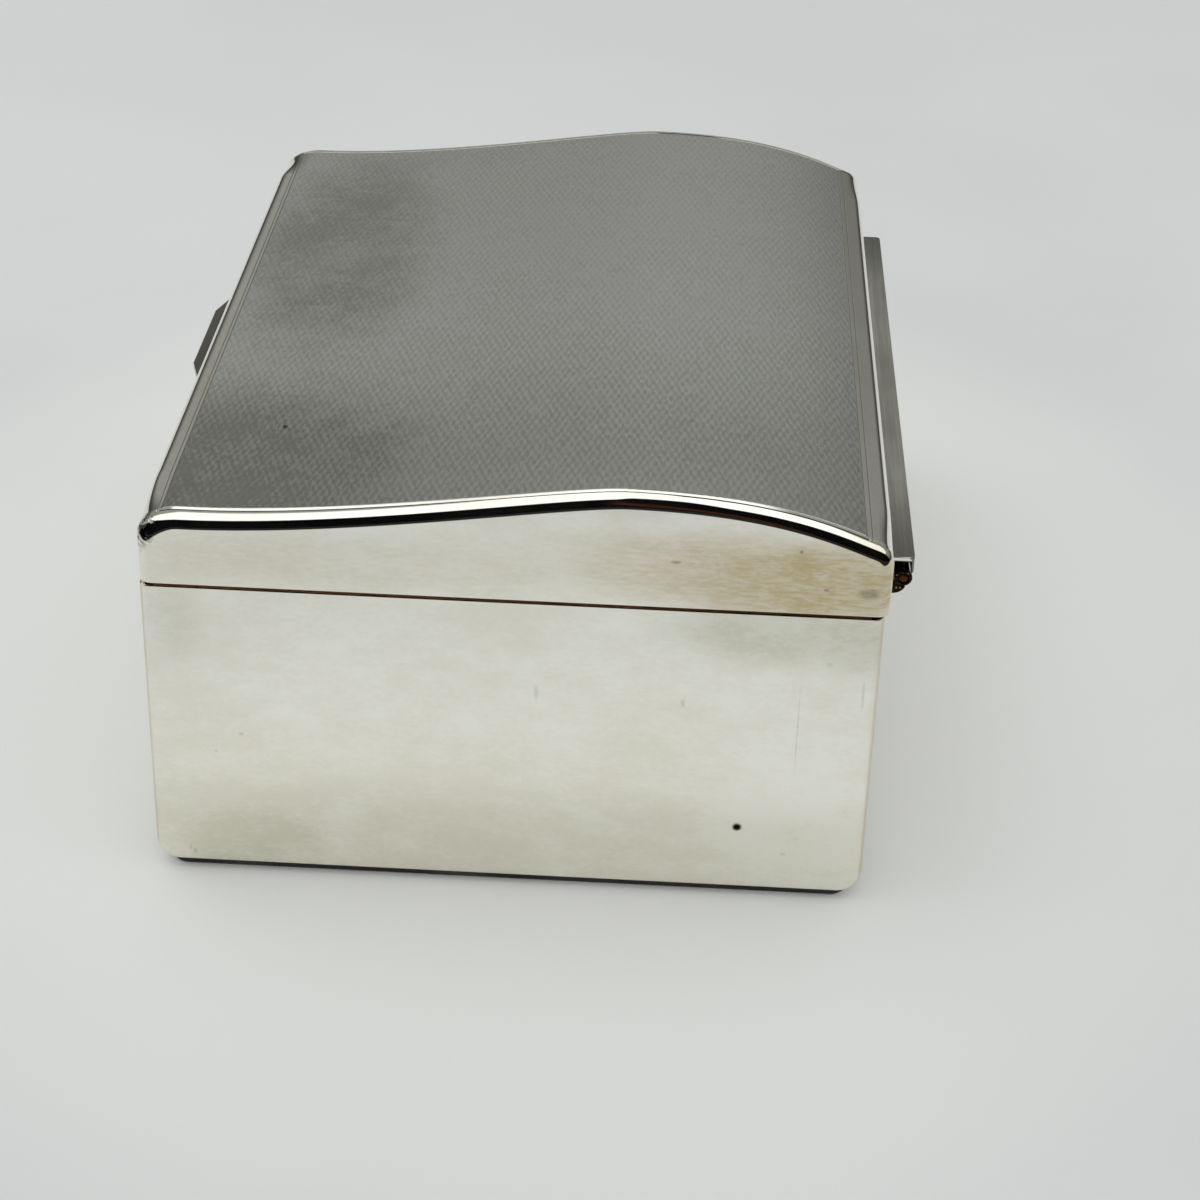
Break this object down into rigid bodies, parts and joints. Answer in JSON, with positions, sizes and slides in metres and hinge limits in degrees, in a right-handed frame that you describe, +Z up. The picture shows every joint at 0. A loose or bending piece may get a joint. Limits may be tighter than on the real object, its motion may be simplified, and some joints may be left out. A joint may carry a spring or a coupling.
{
  "type": "cigarette box",
  "caption": "Rectangular silver table cigarette box with a serpentine hinged lid, front thumb piece, stand-away hinge and divided cedar lining.",
  "frame": {"origin": "on the surface that the box stands on, under the middle of the body", "axes": "+X along the box to its right-hand end as seen from the front, +Y to the back, where the hinge is, +Z up"},
  "size_m": [0.1142, 0.0885, 0.0516],
  "materials": {
    "silver": "polished sterling silver, lightly tarnished",
    "lid_silver": "sterling silver, engine-turned top inside a double engraved line, polished gables",
    "brass": "drawn wire, tarnished",
    "base_wood": "stained, unpolished",
    "base_cover": "near-black, matt",
    "cedar": "planed, oiled by age"
  },
  "bodies": {
    "box": {"body_shell": "silver", "base_board": "base_wood", "base_cover": "base_cover", "base_pin_front_left": "brass", "base_pin_front_right": "brass", "base_pin_back_left": "brass", "base_pin_back_right": "brass", "lining_floor": "cedar", "lining_front": "cedar", "lining_back": "cedar", "lining_left": "cedar", "lining_right": "cedar", "lining_divider": "cedar", "body_hinge_bearer": "silver", "body_knuckle_1": "silver", "body_knuckle_2": "silver", "body_knuckle_3": "silver", "hinge_pin": "brass"},
    "lid": {"lid_shell": "lid_silver", "thumb_piece": "silver", "lid_hinge_plate": "silver", "lid_knuckle_1": "silver", "lid_knuckle_2": "silver"}
  },
  "joints": [
    {"name": "lid_hinge", "type": "hinge", "parent": "box", "child": "lid", "pos_m": [0, 0.0437, 0.0376], "axis": [-1, 0, 0], "range_deg": [0, 100]}
  ]
}
